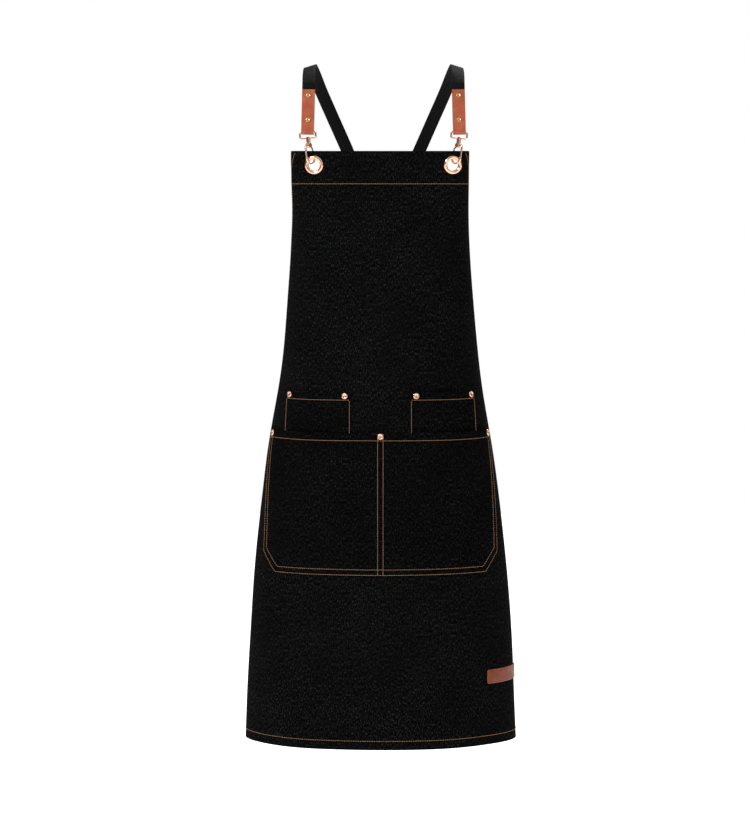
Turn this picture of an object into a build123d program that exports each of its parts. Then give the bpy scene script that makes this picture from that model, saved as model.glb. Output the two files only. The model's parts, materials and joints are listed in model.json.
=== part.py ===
from build123d import *
import functools
import math
import os

# A denim bib apron in its worn shape, with two crossing webbing straps.  Each
# strap hangs from the shoulder, carries a leather tab and a swivel snap hook at
# the front, and ends at the waist on the other side, behind the wearer.
# Millimetres.  Origin: on the shoulders, midway between the two straps.
# +Z is up, +X is the viewer's right, and the apron's front faces -Y.

# ---- panel: heights ---------------------------------------------------------
bib_top = -125.8
waist = -504.0
hem_bottom = -1004.5
cloth = 1.2
facing = 1.0
seam_gap = 0.12                 # air between two sewn layers

# ---- panel: its horizontal section at each height ---------------------------
half_width = [(bib_top, 131.0), (-226, 131.3), (-324, 136.5), (-459, 150.0),
              (-594, 172.5), (-729, 187.5), (-864, 198.0), (hem_bottom, 203.5)]
section_depth = [(bib_top, 30.0), (-226, 88.0), (waist, 115.0), (hem_bottom, 135.0)]
front_y = [(bib_top, -112.0), (-226, -112.5), (waist, -115.0), (hem_bottom, -135.0)]
squareness = [(bib_top, 4.0), (-226, 3.0), (waist, 2.2), (hem_bottom, 2.0)]
# flat distance from the centre line to the side edge
flat_half = [(bib_top, 138.0), (-226, 195.0), (-330, 241.0), (-430, 266.0),
             (waist, 276.0), (-750, 306.0), (hem_bottom, 337.0)]
# the panel is lofted through more sections in the bib, where its shape turns faster
bib_curve_end = -226.0
bib_rows = 9
skirt_rows = 17

# ---- hems -------------------------------------------------------------------
bib_band = 50.0                 # depth of the folded band along the top
hem_depth = 14.5
side_hem = 15.0
hem_inset = 0.5
hem_gap = 0.35                  # air between the panel and a turned hem

# ---- large front pocket (flat sizes) ----------------------------------------
pocket_half = 200.0
pocket_top = -538.4
pocket_height = 211.0
pocket_corner = 30.0
pocket_cloth = 1.0
pocket_bulge = 8.0
pocket_seam = 13.5              # flat margin round the pocket
divider_half = 5.5              # half the flat strip down the middle

# ---- two upper pockets (flat sizes) -----------------------------------------
upper_inner = 44.0              # from the centre line to the pocket's inner edge
upper_width = 112.0
upper_top = -479.1
upper_height = 93.0
upper_bulge = 6.0
upper_seam = 13.5

# ---- hem label --------------------------------------------------------------
label_start = 170.0             # flat distance from the centre line
label_width = 95.0
label_top = -893.0
label_height = 21.0
leather = 1.4

# ---- pocket rivets ----------------------------------------------------------
rivet_r = 4.8
rivet_height = 2.0
rivet_back_r = 4.4
rivet_back = 1.0
rivet_shaft_r = 1.2
rivet_clear = 0.05
hole_length = 24.0              # any cutter that goes right through
rivet_drop = 5.0                # below a pocket's top edge
rivet_inset = 8.5

# ---- eyelets ----------------------------------------------------------------
hardware_shift = 4.6            # eyelets and straps sit this far right of centre
eyelet_x = 101.6
eyelet_z = -146.3
eyelet_r = 13.5
eyelet_bore_r = 8.8
eyelet_wall = 0.7
eyelet_dome = 1.3
eyelet_seat = 1.5               # the flat washer bridges the hollow side of the cloth
eyelet_lip = 0.02               # air under the front flange

# ---- straps -----------------------------------------------------------------
web_width = 19.0
web = 1.6
shoulder_x = 108.7
back_y = 119.0
cross_z = -250.0
strap_lift = 1.5                # each strap moves this far off the other where they cross
straight_run = 150.0            # straight webbing above the waist ring
tail_run = 120.0
bar_r = 1.3
bar_clear = 0.1

# ---- leather tab and loop ---------------------------------------------------
tab_length = 64.0
tab_width = 18.7
tab_back_tilt = 14.5            # degrees back from vertical
tab_splay = 0.02                # slope of the tab towards its own side
tab_taper = 12.0                # the fold closes on the webbing over this length
tab_ease = 0.03                 # slope that the fold's bore leaves for the loop
tab_web_gap = 0.3               # air on each face of the webbing
web_in_tab = 52.0
loop_width = 25.7
loop_height = 12.0
boss_r = 3.2
boss_top = 1.2                  # above the lower bar's centre
boss_bottom = 1.9
tab_rivet_r = 3.8
tab_rivet_height = 1.6
tab_rivet_high = 9.1            # below the tab's top
tab_rivet_pitch = 37.0

# ---- swivel snap hook -------------------------------------------------------
loop_lean = 5.0                 # degrees, the foot of the loop leans towards the centre
hook_to_cloth = 60.0            # degrees between the hook's plane and the cloth
wire_r = 1.4
hook_depth = 45.6               # loop's upper bar to the centre of the hook's bottom
hook_out = 4.0                  # hook's bottom from the eyelet's centre, outwards
hook_up = 2.3                   # and upwards
axis_ahead = 2.0                # swivel axis ahead of the middle of the cloth
barrel_r = 3.0
swivel_gap = 0.15
stem_r = 1.3
stem_clear = 0.06
stem_head_r = 2.4
stem_head = 1.2
stem_in_barrel = 2.6
pivot_x = 1.0
pivot_depth = 19.5
fork_r = 3.4
fork_half = 2.5
fork_slot_half = 1.5
gate_eye_r = 2.5
gate_r = 1.1
gate_pin_r = 0.8
gate_pin_clear = 0.04
spring_coil_r = 1.35
spring_wire_r = 0.18
spring_pitch = 0.42
spring_offset = 0.42            # from the middle of the fork, along the pin
side_clear = 0.1

# ---- waist ring and slider --------------------------------------------------
ring_width = 26.0
ring_height = 10.0
ring_from_edge = 16.0
ring_tab_free = 24.0
anchor_z = -505.0
ring_tab_layer = 1.0
ring_tab_seat = 1.7             # the flat tab bridges the hollow of the side hem
ring_tab_taper = 8.0
slider_place = 70.0
slider_length = 14.0
slider_wall = 1.2
slider_clear = 0.3

os.makedirs("parts", exist_ok=True)


def save(name, shapes):
    """Write one node; a list of solids goes out as one compound."""
    solids = shapes if isinstance(shapes, list) else [shapes]
    shape = solids[0] if len(solids) == 1 else Compound(children=solids)
    shape.label = name
    export_step(shape, f"parts/{name}.step")
    volume = sum(s.volume for s in solids)
    print(f"{name:26s} {len(solids):2d} solid(s) {volume / 1000:9.3f} cm3")


# ---- the worn surface -------------------------------------------------------
def at_height(stations, z):
    """Smooth value at a height, through (height, value) pairs from the top down."""
    if z >= stations[0][0]:
        return stations[0][1]
    if z <= stations[-1][0]:
        return stations[-1][1]
    k = next(i for i in range(len(stations) - 1) if stations[i + 1][0] <= z)
    (z0, v0), (z1, v1) = stations[k], stations[k + 1]

    def slope(i):
        low, high = max(i - 1, 0), min(i + 1, len(stations) - 1)
        return (stations[high][1] - stations[low][1]) / (stations[high][0] - stations[low][0])

    t = (z - z0) / (z1 - z0)
    rise = z1 - z0
    return (v0 * (2 * t**3 - 3 * t**2 + 1) + rise * slope(k) * (t**3 - 2 * t**2 + t)
            + v1 * (3 * t**2 - 2 * t**3) + rise * slope(k + 1) * (t**3 - t**2))


@functools.lru_cache(maxsize=None)
def section(z):
    """The right half of the outer cloth at one height: (flat distance, x, y) points."""
    a = at_height(half_width, z)
    b = at_height(section_depth, z)
    middle = at_height(front_y, z) + b
    power = 2 / at_height(squareness, z)
    points = [(0.0, 0.0, middle - b)]
    for i in range(1, 561):
        t = math.radians(i / 4)
        x = a * math.sin(t)**power
        side = math.copysign(abs(math.cos(t))**power, math.cos(t))
        y = middle - b * side
        flat, x0, y0 = points[-1]
        points.append((flat + math.hypot(x - x0, y - y0), x, y))
    return points


def between(points, flat):
    low, high = 0, len(points) - 1
    while high - low > 1:
        mid = (low + high) // 2
        if points[mid][0] > flat:
            high = mid
        else:
            low = mid
    t = (flat - points[low][0]) / (points[high][0] - points[low][0])
    return [points[low][k] + t * (points[high][k] - points[low][k]) for k in (1, 2)]


def on_cloth(flat, z, lift=0.0):
    """Point on the outer cloth, lifted square to its horizontal section."""
    points = section(z)
    step = 4.0
    x, y = between(points, abs(flat))
    x1, y1 = between(points, abs(flat) + step)
    if abs(flat) > step:
        x0, y0 = between(points, abs(flat) - step)
    else:
        x0, y0 = between(points, step - abs(flat))
        x0 = -x0
    run = math.hypot(x1 - x0, y1 - y0)
    x += lift * (y1 - y0) / run
    y -= lift * (x1 - x0) / run
    return Vector(math.copysign(x, flat) if flat else 0.0, y, z)


def flat_at(x, z):
    """Flat distance of the front point that has this x."""
    points = section(z)
    k = next(i for i in range(1, len(points)) if points[i][1] >= abs(x))
    t = (abs(x) - points[k - 1][1]) / (points[k][1] - points[k - 1][1])
    flat = points[k - 1][0] + t * (points[k][0] - points[k - 1][0])
    return math.copysign(flat, x)


def cloth_plane(flat, z, lift=0.0):
    """Frame on the cloth: x towards the viewer's right along it, z out of it."""
    here = on_cloth(flat, z, lift)
    right = on_cloth(flat + 3, z, lift) - on_cloth(flat - 3, z, lift)
    up = on_cloth(flat, z + 3, lift) - on_cloth(flat, z - 3, lift)
    return Plane(origin=here, x_dir=right, z_dir=right.cross(up))


def sheet(flat_range, levels, lift, thickness, columns=41, outward=True):
    """Cloth lofted through its sections: flat_range(z) gives its edges, lift its bulge."""
    wires = []
    for z in levels:
        left, right = flat_range(z)
        flats = [left + (right - left) * i / (columns - 1) for i in range(columns)]
        other = thickness if outward else -thickness
        near = [on_cloth(f, z, lift(f, z)) for f in flats]
        far = [on_cloth(f, z, lift(f, z) + other) for f in flats]
        wires.append(Wire([Edge.make_spline(near), Edge.make_line(near[-1], far[-1]),
                           Edge.make_spline(far[::-1]), Edge.make_line(far[0], near[0])]))
    return Solid.make_loft(wires)


def heights(top, bottom, rows):
    return [top + (bottom - top) * i / (rows - 1) for i in range(rows)]


panel_levels = (heights(bib_top, bib_curve_end, bib_rows)
                + heights(bib_curve_end, hem_bottom, skirt_rows)[1:])


def levels_between(top, bottom):
    """The panel's own levels inside a range, with the range's two ends."""
    return [top] + [z for z in panel_levels if bottom + 3 < z < top - 3] + [bottom]


def through_hole(plane, radius):
    return plane.location * Cylinder(radius, hole_length)


# ---- rivets -----------------------------------------------------------------
def domed_cap(radius, height, dimple, plane):
    """Cap with a dimpled dome and a hollow for the shaft's tip, seated on the plane."""
    rim = 0.5
    profile = Polyline((0, 0), (radius, 0), (radius, rim))
    crown = Spline((radius, rim), (radius * 0.72, height), (dimple, height * 0.72), (0, height * 0.5),
                   tangents=[(-0.2, 1), (-1, 0)])
    face = make_face([*profile.edges(), *crown.edges(), *Line((0, height * 0.5), (0, 0)).edges()])
    return plane.location * revolve(Plane.XZ.location * face, Axis.Z)


def rivet_pair(plane, stack, radius, height, dimple):
    """Front cap, and a back disc whose shaft stands through the stack of layers."""
    cap = domed_cap(radius, height, dimple, plane)
    back = Pos(0, 0, -stack - rivet_back / 2) * Cylinder(rivet_back_r, rivet_back)
    shaft = Pos(0, 0, -stack / 2) * Cylinder(rivet_shaft_r, stack)
    return cap, plane.location * (back + shaft)


# ---- panel and its facings --------------------------------------------------
def pocket_lift(flat, z):
    """Gap behind the large pocket: none at the stitches, widest at the mouth."""
    across = (abs(flat) - divider_half) / (pocket_half - pocket_seam - divider_half)
    down = (pocket_top - z) / (pocket_height - pocket_seam)
    if not 0 < across < 1 or down >= 1:
        return seam_gap
    return seam_gap + pocket_bulge * math.sin(math.pi * across)**2 \
        * math.cos(math.pi / 2 * max(down, 0))**2


def upper_lift(flat, z):
    """Gap behind an upper pocket: flat where the large pocket covers it."""
    across = (abs(flat) - upper_inner - upper_seam) / (upper_width - 2 * upper_seam)
    down = (upper_top - z) / (upper_top - pocket_top)
    if not 0 < across < 1 or down >= 1:
        return seam_gap
    return seam_gap + upper_bulge * math.sin(math.pi * across)**2 \
        * math.cos(math.pi / 2 * max(down, 0))**2


behind = -(cloth + seam_gap)
behind_hem = -(cloth + hem_gap)
rivet_rise = seam_gap + pocket_cloth
rivet_stack = rivet_rise + cloth + seam_gap
big_rivets = [-(pocket_half - rivet_inset), 0.0, pocket_half - rivet_inset]
small_rivets = [s * f for s in (-1, 1) for f in (upper_inner + rivet_inset,
                                                  upper_inner + upper_width - rivet_inset)]
rivet_planes = ([cloth_plane(f, pocket_top - rivet_drop, rivet_rise + 0.02) for f in big_rivets]
                + [cloth_plane(f, upper_top - rivet_drop, rivet_rise + 0.02) for f in small_rivets])
rivet_holes = [through_hole(p, rivet_shaft_r + rivet_clear) for p in rivet_planes]

eyelet_flats = {s: flat_at(hardware_shift + s * eyelet_x, eyelet_z) for s in (-1, 1)}
eyelet_stack = cloth + seam_gap + facing
eyelet_tube_r = eyelet_bore_r + eyelet_wall
eyelet_holes = [through_hole(cloth_plane(eyelet_flats[s], eyelet_z), eyelet_tube_r + rivet_clear)
                for s in (-1, 1)]

panel = sheet(lambda z: (-at_height(flat_half, z), at_height(flat_half, z)),
              panel_levels, lambda f, z: 0.0, cloth, 61, outward=False)
for hole in rivet_holes + eyelet_holes:
    panel = panel - hole
save("apron_panel", panel)


def inner_range(z):
    reach = at_height(flat_half, z) - hem_inset
    return -reach, reach


band = sheet(inner_range, levels_between(bib_top - hem_inset, bib_top - bib_band),
             lambda f, z: behind, facing, 61, outward=False)
for hole in eyelet_holes:
    band = band - hole
save("bib_facing", band)

save("bottom_hem_facing",
     sheet(inner_range, heights(hem_bottom + hem_depth, hem_bottom + hem_inset, 4),
           lambda f, z: behind_hem, facing, 61, outward=False))


def side_range(side):
    def edges(z):
        reach = at_height(flat_half, z) - hem_inset
        ends = (side * (reach - side_hem), side * reach)
        return min(ends), max(ends)
    return edges


for side, word in ((-1, "left"), (1, "right")):
    save(f"{word}_side_hem",
         sheet(side_range(side), levels_between(bib_top - bib_band - 1, hem_bottom + hem_depth + 1),
               lambda f, z: behind_hem, facing, 4, outward=False))

# ---- pockets, label and rivets ----------------------------------------------
def pocket_range(z):
    corner_start = pocket_top - pocket_height + pocket_corner
    reach = pocket_half - max(corner_start - z, 0.0)
    return -reach, reach


pocket_levels = (heights(pocket_top, pocket_top - pocket_height + pocket_corner, 10)
                 + heights(pocket_top - pocket_height + pocket_corner * 0.75,
                           pocket_top - pocket_height, 4))
pocket = sheet(pocket_range, pocket_levels, pocket_lift, pocket_cloth, 61)
for hole in rivet_holes[:3]:
    pocket = pocket - hole
save("front_pocket", pocket)

for side, word, holes in ((-1, "left", rivet_holes[3:5]), (1, "right", rivet_holes[5:7])):
    ends = sorted((side * upper_inner, side * (upper_inner + upper_width)))
    upper = sheet(lambda z: tuple(ends), heights(upper_top, upper_top - upper_height, 15),
                  upper_lift, pocket_cloth, 31)
    for hole in holes:
        upper = upper - hole
    save(f"{word}_upper_pocket", upper)

save("hem_label", sheet(lambda z: (label_start, label_start + label_width),
                        heights(label_top, label_top - label_height, 4),
                        lambda f, z: seam_gap, leather, 31))

pairs = [rivet_pair(p, rivet_stack, rivet_r, rivet_height, 1.9) for p in rivet_planes]
save("pocket_rivet_caps", [cap for cap, _ in pairs])
save("pocket_rivet_backs", [back for _, back in pairs])


# ---- eyelets ----------------------------------------------------------------
def eyelet(plane):
    """Front flange with its tube, and the back washer that the tube passes into."""
    def domed_ring(inner, base, direction):
        crown = ThreePointArc((inner, base), ((inner + eyelet_r) / 2, base + direction * eyelet_dome),
                              (eyelet_r, base))
        face = make_face([*crown.edges(), *Line((eyelet_r, base), (inner, base)).edges()])
        return revolve(Plane.XZ.location * face, Axis.Z)

    depth = eyelet_stack + eyelet_seat + eyelet_lip + eyelet_dome / 2
    tube = Cylinder(eyelet_tube_r, depth) - Cylinder(eyelet_bore_r, depth + 2)
    tube = Pos(0, 0, eyelet_lip + eyelet_dome / 4 - depth / 2) * tube
    front = domed_ring(eyelet_bore_r, eyelet_lip, 1) + tube
    washer = domed_ring(eyelet_tube_r + 0.02, -eyelet_stack - eyelet_seat, -1)
    return plane.location * front, plane.location * washer


# ---- straps: a rectangle lofted along a smooth path --------------------------
def unit(v):
    return v * (1 / v.length)


def smooth(stations, steps):
    """Points along a smooth curve through the stations, a list of vectors."""
    out = []
    for k in range(len(stations) - 1):
        p1, p2 = stations[k], stations[k + 1]
        p0 = stations[k - 1] if k else p1 * 2 - p2
        p3 = stations[k + 2] if k + 2 < len(stations) else p2 * 2 - p1
        span = (p2 - p1).length
        m1 = (p2 - p0) * (span / ((p2 - p1).length + (p1 - p0).length))
        m2 = (p3 - p1) * (span / ((p3 - p2).length + (p2 - p1).length))
        for i in range(steps):
            t = i / steps
            out.append(p1 * (2 * t**3 - 3 * t**2 + 1) + m1 * (t**3 - 2 * t**2 + t)
                       + p2 * (3 * t**2 - 2 * t**3) + m2 * (t**3 - t**2))
    return out + [stations[-1]]


def turning(looks, steps):
    """Directions that turn evenly from each look to the next."""
    out = []
    for here, there in zip(looks, looks[1:]):
        out += [unit(here + (there - here) * (i / steps)) for i in range(steps)]
    return out + [unit(looks[-1])]


def ribbon(centres, faces, width, thickness):
    """Flat band through the centres; faces gives the way its outside looks."""
    wires = []
    last = len(centres) - 1
    for k, (centre, out) in enumerate(zip(centres, faces)):
        along = unit(centres[min(k + 1, last)] - centres[max(k - 1, 0)])
        across = unit(out.cross(along))
        plane = Plane(origin=centre, x_dir=across, z_dir=along)
        wires.append(plane * Wire.make_rect(width, thickness))
    return Solid.make_loft(wires)


def looped_end(inner_r, layer, half_gap, taper, length, width):
    """Band folded round a bar at the local origin; its two runs go up local y."""
    outer_r = inner_r + layer

    def teardrop(radius, half, reach):
        drop = Circle(radius)
        if taper:
            top = Line((-half, taper), (half, taper))
            drop = make_hull([*CenterArc((0, 0), radius, 0, 360).edges(), *top.edges()])
        if reach > taper:
            drop = drop + Pos(0, (taper + reach) / 2) * Rectangle(2 * half, reach - taper)
        return drop

    hollow = teardrop(inner_r, half_gap, length + 5) if half_gap else Circle(inner_r)
    face = teardrop(outer_r, half_gap + layer, length) - hollow
    return Plane.YZ.location * extrude(face, width / 2, both=True)


def wire_loop(width, height):
    """Rounded rectangular ring of round wire; the upper bar's centre is the origin."""
    path = Wire(RectangleRounded(width - 2 * bar_r, height - 2 * bar_r, 2.2).edges())
    path = Plane.XZ * path
    start = path @ 0
    ring = sweep(Plane(origin=start, z_dir=path % 0) * Circle(bar_r), path=path)
    return Pos(0, 0, -(height / 2 - bar_r)) * ring


# ---- swivel snap hook, in its own frame: z up the swivel axis, x in its plane --
def hook_body():
    low = loop_height - 2 * bar_r + boss_bottom + swivel_gap
    barrel_end = pivot_depth - fork_r + 1.0
    barrel = Pos(0, 0, -(low + barrel_end) / 2) * Cylinder(barrel_r, barrel_end - low)
    neck = Pos(0, 0, -pivot_depth + 1.4) * Box(5.2, 2 * fork_half, 4.4)
    ears = Pos(pivot_x, 0, -pivot_depth) * Rot(90, 0, 0) * Cylinder(fork_r, 2 * fork_half)
    corner_path = FilletPolyline((-1.2, -14.5), (-7.6, -21.0), (-6.0, -hook_depth),
                                 (9.6, -hook_depth), (9.6, -38.6), radius=[5.0, 7.4, 6.4])
    path = Plane.XZ * Wire(corner_path.edges())
    bow = sweep(Plane(origin=path @ 0, z_dir=path % 0) * Circle(wire_r), path=path)
    body = barrel + neck + ears + bow
    across_fork = Pos(pivot_x, 0, -pivot_depth) * Rot(90, 0, 0)
    slot = across_fork * Cylinder(gate_eye_r + 0.4, 2 * fork_slot_half)
    way = Pos(pivot_x + 3.0, 0, -pivot_depth - 3.0) * Box(7.0, 2 * fork_slot_half, 5.6)
    body = body - slot - way
    body = body - across_fork * Cylinder(gate_pin_r, hole_length)
    return body - Pos(0, 0, -low - stem_in_barrel / 2) * Cylinder(stem_r, stem_in_barrel)


def hook_stem():
    """Headed pin through the loop's boss, fixed in the barrel."""
    low = loop_height - 2 * bar_r
    head_base = low - boss_top - 0.1
    foot = low + boss_bottom + swivel_gap + stem_in_barrel
    shank = Pos(0, 0, -(head_base + foot) / 2) * Cylinder(stem_r, foot - head_base)
    head = Pos(0, 0, -head_base + stem_head / 2) * Cylinder(stem_head_r, stem_head)
    head = chamfer(head.edges().group_by(Axis.Z)[-1], 0.4)
    return head + shank


def gate():
    eye_low, eye_high = -fork_slot_half + side_clear, 0.2
    eye = Pos(pivot_x, (eye_low + eye_high) / 2, -pivot_depth) * Rot(90, 0, 0) \
        * Cylinder(gate_eye_r, eye_high - eye_low)
    corner_path = FilletPolyline((pivot_x + 0.9, -pivot_depth - 0.4), (7.2, -24.6), (8.6, -36.8),
                                 radius=4.0)
    path = Plane.XZ * Wire(corner_path.edges())
    arm = sweep(Plane(origin=path @ 0, z_dir=path % 0) * Circle(gate_r), path=path)
    bore = Pos(pivot_x, 0, -pivot_depth) * Rot(90, 0, 0)
    leaf = eye + arm - bore * Cylinder(gate_pin_r + gate_pin_clear, hole_length)
    room = bore * Pos(0, 0, -(fork_slot_half + 0.25) / 2 - 0.12) \
        * Cylinder(gate_eye_r, fork_slot_half + 0.25 - 0.24)
    return leaf - room


def gate_pin():
    return Pos(pivot_x, 0, -pivot_depth) * Rot(90, 0, 0) * Cylinder(gate_pin_r, 2 * fork_half)


def gate_spring():
    path = Helix(spring_pitch, 2 * spring_pitch, spring_coil_r)
    coil = sweep(Plane(origin=path @ 0, z_dir=path % 0) * Circle(spring_wire_r), path=path)
    return Pos(pivot_x, spring_offset, -pivot_depth) * Rot(-90, 0, 0) * coil


def boss_on_loop():
    """Loop with the swivel boss that the hook's stem turns in."""
    low = loop_height - 2 * bar_r
    boss = Pos(0, 0, -low + (boss_top - boss_bottom) / 2) * Cylinder(boss_r, boss_top + boss_bottom)
    return wire_loop(loop_width, loop_height) + boss \
        - Pos(0, 0, -low) * Cylinder(stem_r + stem_clear, boss_top + boss_bottom + 4)


def slider_frame():
    """Slide: two side rails joined by bars before, between and behind the two runs."""
    run_half = bar_r + bar_clear
    depth = 2 * (run_half + web + slider_clear + slider_wall)
    wide = web_width + 2 * (slider_clear + slider_wall)
    frame = Box(wide, depth, slider_length)
    frame = frame - Box(web_width + 2 * slider_clear, depth - 2 * slider_wall, slider_length + 2)
    frame = frame - Box(web_width - 5, depth + 2, slider_length - 6)
    bar = Rot(0, 90, 0) * Cylinder(run_half - slider_clear, wide - slider_wall)
    return frame + bar


# ---- everything that comes once on each side --------------------------------
def build_side(side, word):
    other = -side

    def placed(shape, frame):
        """Left-hand shapes are mirrored for the right-hand side."""
        handed = mirror(shape, Plane.YZ) if side > 0 else shape
        return frame.location * handed

    # eyelet
    ring = cloth_plane(eyelet_flats[side], eyelet_z)
    front, washer = eyelet(ring)
    save(f"{word}_eyelet_front", front)
    save(f"{word}_eyelet_back", washer)

    # swivel axis, from where the hook's bottom passes through the eyelet
    out = ring.z_dir
    outward = ring.x_dir * side
    bottom = ring.origin + outward * hook_out + Vector(0, 0, hook_up) - out * (eyelet_stack / 2)
    lean = math.radians(loop_lean)
    up = Vector(side * math.sin(lean), 0, math.cos(lean))
    bar_way = Vector(math.cos(lean), 0, -side * math.sin(lean))
    cloth_turn = math.degrees(math.atan2(abs(out.X), abs(out.Y)))
    plane_turn = hook_to_cloth - cloth_turn
    gate_way = Vector(-side * math.cos(math.radians(plane_turn)), math.sin(math.radians(plane_turn)), 0)
    on_axis = bottom - gate_way * (axis_ahead / math.sin(math.radians(hook_to_cloth)))
    bar = on_axis + up * hook_depth
    frame = Plane(origin=bar, x_dir=bar_way, z_dir=up)
    turned = Rot(0, 0, plane_turn)
    save(f"{word}_hook_loop", placed(boss_on_loop(), frame))
    save(f"{word}_hook_body", placed(turned * hook_body(), frame))
    save(f"{word}_hook_stem", placed(turned * hook_stem(), frame))
    save(f"{word}_gate", placed(turned * gate(), frame))
    save(f"{word}_gate_pin", placed(turned * gate_pin(), frame))
    save(f"{word}_gate_spring", placed(turned * gate_spring(), frame))
    pivot = bar + gate_way * pivot_x - up * pivot_depth
    pin_way = placed(turned * gate_pin(), frame).edges().filter_by(GeomType.CIRCLE)
    pin_axis = unit(pin_way[0].arc_center - pin_way[1].arc_center)
    print(f"  {word} swivel: point {tuple(bar)} axis {tuple(up)}")
    print(f"  {word} gate: point {tuple(pivot)} axis {tuple(pin_axis)}")

    # leather tab, folded round the loop's upper bar
    tilt = math.radians(tab_back_tilt)
    tab_up = unit(Vector(-side * tab_splay, math.sin(tilt), math.cos(tilt)))
    wide_way = unit(Vector(1, 0, 0) - tab_up * tab_up.X)
    tab_front = wide_way.cross(tab_up)
    half_gap = web / 2 + tab_web_gap
    skew = tab_width / 2 * math.sin(lean + tab_ease)
    tab = looped_end(bar_r + bar_clear + skew, leather, half_gap, tab_taper, tab_length, tab_width)
    tab = Plane(origin=bar, x_dir=wide_way, z_dir=tab_up).location * tab
    rivets = []
    for place in (tab_rivet_high, tab_rivet_high + tab_rivet_pitch):
        seat = bar + tab_up * (tab_length - place) + tab_front * (half_gap + leather + 0.02)
        seat_plane = Plane(origin=seat, x_dir=wide_way, z_dir=tab_front)
        rivets.append((seat_plane, rivet_pair(seat_plane, 2 * (half_gap + leather) + 0.04,
                                              tab_rivet_r, tab_rivet_height, 1.4)))
    holes = [through_hole(p, rivet_shaft_r + rivet_clear) for p, _ in rivets]
    for hole in holes:
        tab = tab - hole
    save(f"{word}_leather_tab", tab)
    save(f"{word}_tab_rivet_caps", [pair[0] for _, pair in rivets])
    save(f"{word}_tab_rivet_backs", [pair[1] for _, pair in rivets])

    # waist ring, held at the other side's panel edge
    edge = at_height(flat_half, anchor_z)
    inside = -(cloth + hem_gap + facing + seam_gap + ring_tab_layer + ring_tab_seat)
    anchor = on_cloth(other * edge, anchor_z, inside)
    crossing = Vector(0, back_y, cross_z)
    run_way = unit(crossing - anchor)
    edge_plane = cloth_plane(other * (edge - 4), anchor_z, inside)
    leave = unit(run_way - edge_plane.z_dir * run_way.dot(edge_plane.z_dir))
    ring_bar = anchor + leave * ring_from_edge + run_way * ring_tab_free
    out_way = Vector(other * 0.6, 0.8, 0)
    out_way = unit(out_way - run_way * out_way.dot(run_way))
    run_wide = unit(out_way.cross(run_way))
    ring_frame = Plane(origin=ring_bar, x_dir=run_wide, z_dir=run_way)
    save(f"{word}_waist_ring", ring_frame.location * wire_loop(ring_width, ring_height))
    low_bar = ring_bar - run_way * (ring_height - 2 * bar_r)
    fold = looped_end(bar_r + bar_clear, ring_tab_layer, 0.0, ring_tab_taper, ring_tab_taper,
                      web_width)
    fold = Plane(origin=low_bar, x_dir=run_wide * -1, z_dir=run_way * -1).location * fold
    fold_end = low_bar - run_way * ring_tab_taper
    flat_z = [(edge - 13.0, anchor_z - 28.0), (edge - 5.0, anchor_z - 11.0)]
    stations = [on_cloth(other * f, z, inside) for f, z in flat_z]
    stations += [anchor + leave * 2, fold_end - run_way * 1.0, fold_end]
    looks = [cloth_plane(other * f, z).z_dir for f, z in flat_z]
    looks += [cloth_plane(other * (edge - 4), anchor_z).z_dir, out_way, out_way]
    centres = smooth(stations[:4], 4) + [stations[4]]
    faces = turning(looks[:4], 4) + [looks[4]]
    save(f"{word}_ring_tab", fold + ribbon(centres, faces, web_width, 2 * ring_tab_layer))

    # webbing strap: front end in the tab, over the shoulder, across, round the ring
    def shoulder(x, y, z):
        return Vector(hardware_shift + side * x, y, z)

    web_end = bar + tab_up * (tab_length - web_in_tab)
    tab_top = bar + tab_up * tab_length
    run_offset = bar_r + bar_clear + web / 2
    run_top = ring_bar + run_way * straight_run + out_way * run_offset
    lift = strap_lift if side < 0 else -strap_lift
    stations = [web_end, tab_top, tab_top + tab_up * 10, shoulder(shoulder_x + 1, -52, -9.5),
                shoulder(shoulder_x, 0, web / 2), shoulder(shoulder_x - 5, 40, -9),
                shoulder(93.6, 76, -35), shoulder(76.1, 101, -75), shoulder(54.9, 115, -123),
                Vector(hardware_shift / 2, back_y + lift, cross_z), run_top]
    looks = [tab_front, tab_front, tab_front, Vector(side * 0.2, -0.5, 0.85),
             Vector(side * 0.3, 0, 0.95), Vector(side * 0.3, 0.36, 0.88),
             Vector(side * 0.2, 0.7, 0.68), Vector(side * 0.1, 0.9, 0.4), Vector(0, 1, 0.15),
             Vector(0, 1, 0.02), out_way]
    centres = smooth(stations, 3)
    faces = turning(looks, 3)
    strap = ribbon(centres, faces, web_width, web)
    hairpin = looped_end(bar_r + bar_clear, web, bar_r + bar_clear, 0,
                         straight_run - seam_gap, web_width)
    past_tail = 2 * straight_run            # longer than what is cut off the inner run
    hairpin = hairpin - Pos(0, -web_width, tail_run + past_tail / 2) \
        * Box(2 * web_width, 2 * web_width, past_tail)
    hairpin = Plane(origin=ring_bar, x_dir=run_wide, z_dir=run_way).location * hairpin
    save(f"{word}_strap", [strap, hairpin])
    place = Plane(origin=ring_bar + run_way * slider_place, x_dir=run_wide, z_dir=run_way)
    save(f"{word}_strap_slider", place.location * slider_frame())
    print(f"  {word} slider axis {tuple(run_way)}")


for side, word in ((-1, "left"), (1, "right")):
    build_side(side, word)
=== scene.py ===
# %% [markdown]
# A denim bib apron in its worn shape. The metal hardware, leather tabs and ring tabs
# come from the fixed frame and only get finishes here. The cloth, straps, label and
# thread are made here, because they need weave, hems and stitches that a plain solid
# can't carry.

# %% load the fixed frame
import json
import math

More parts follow.
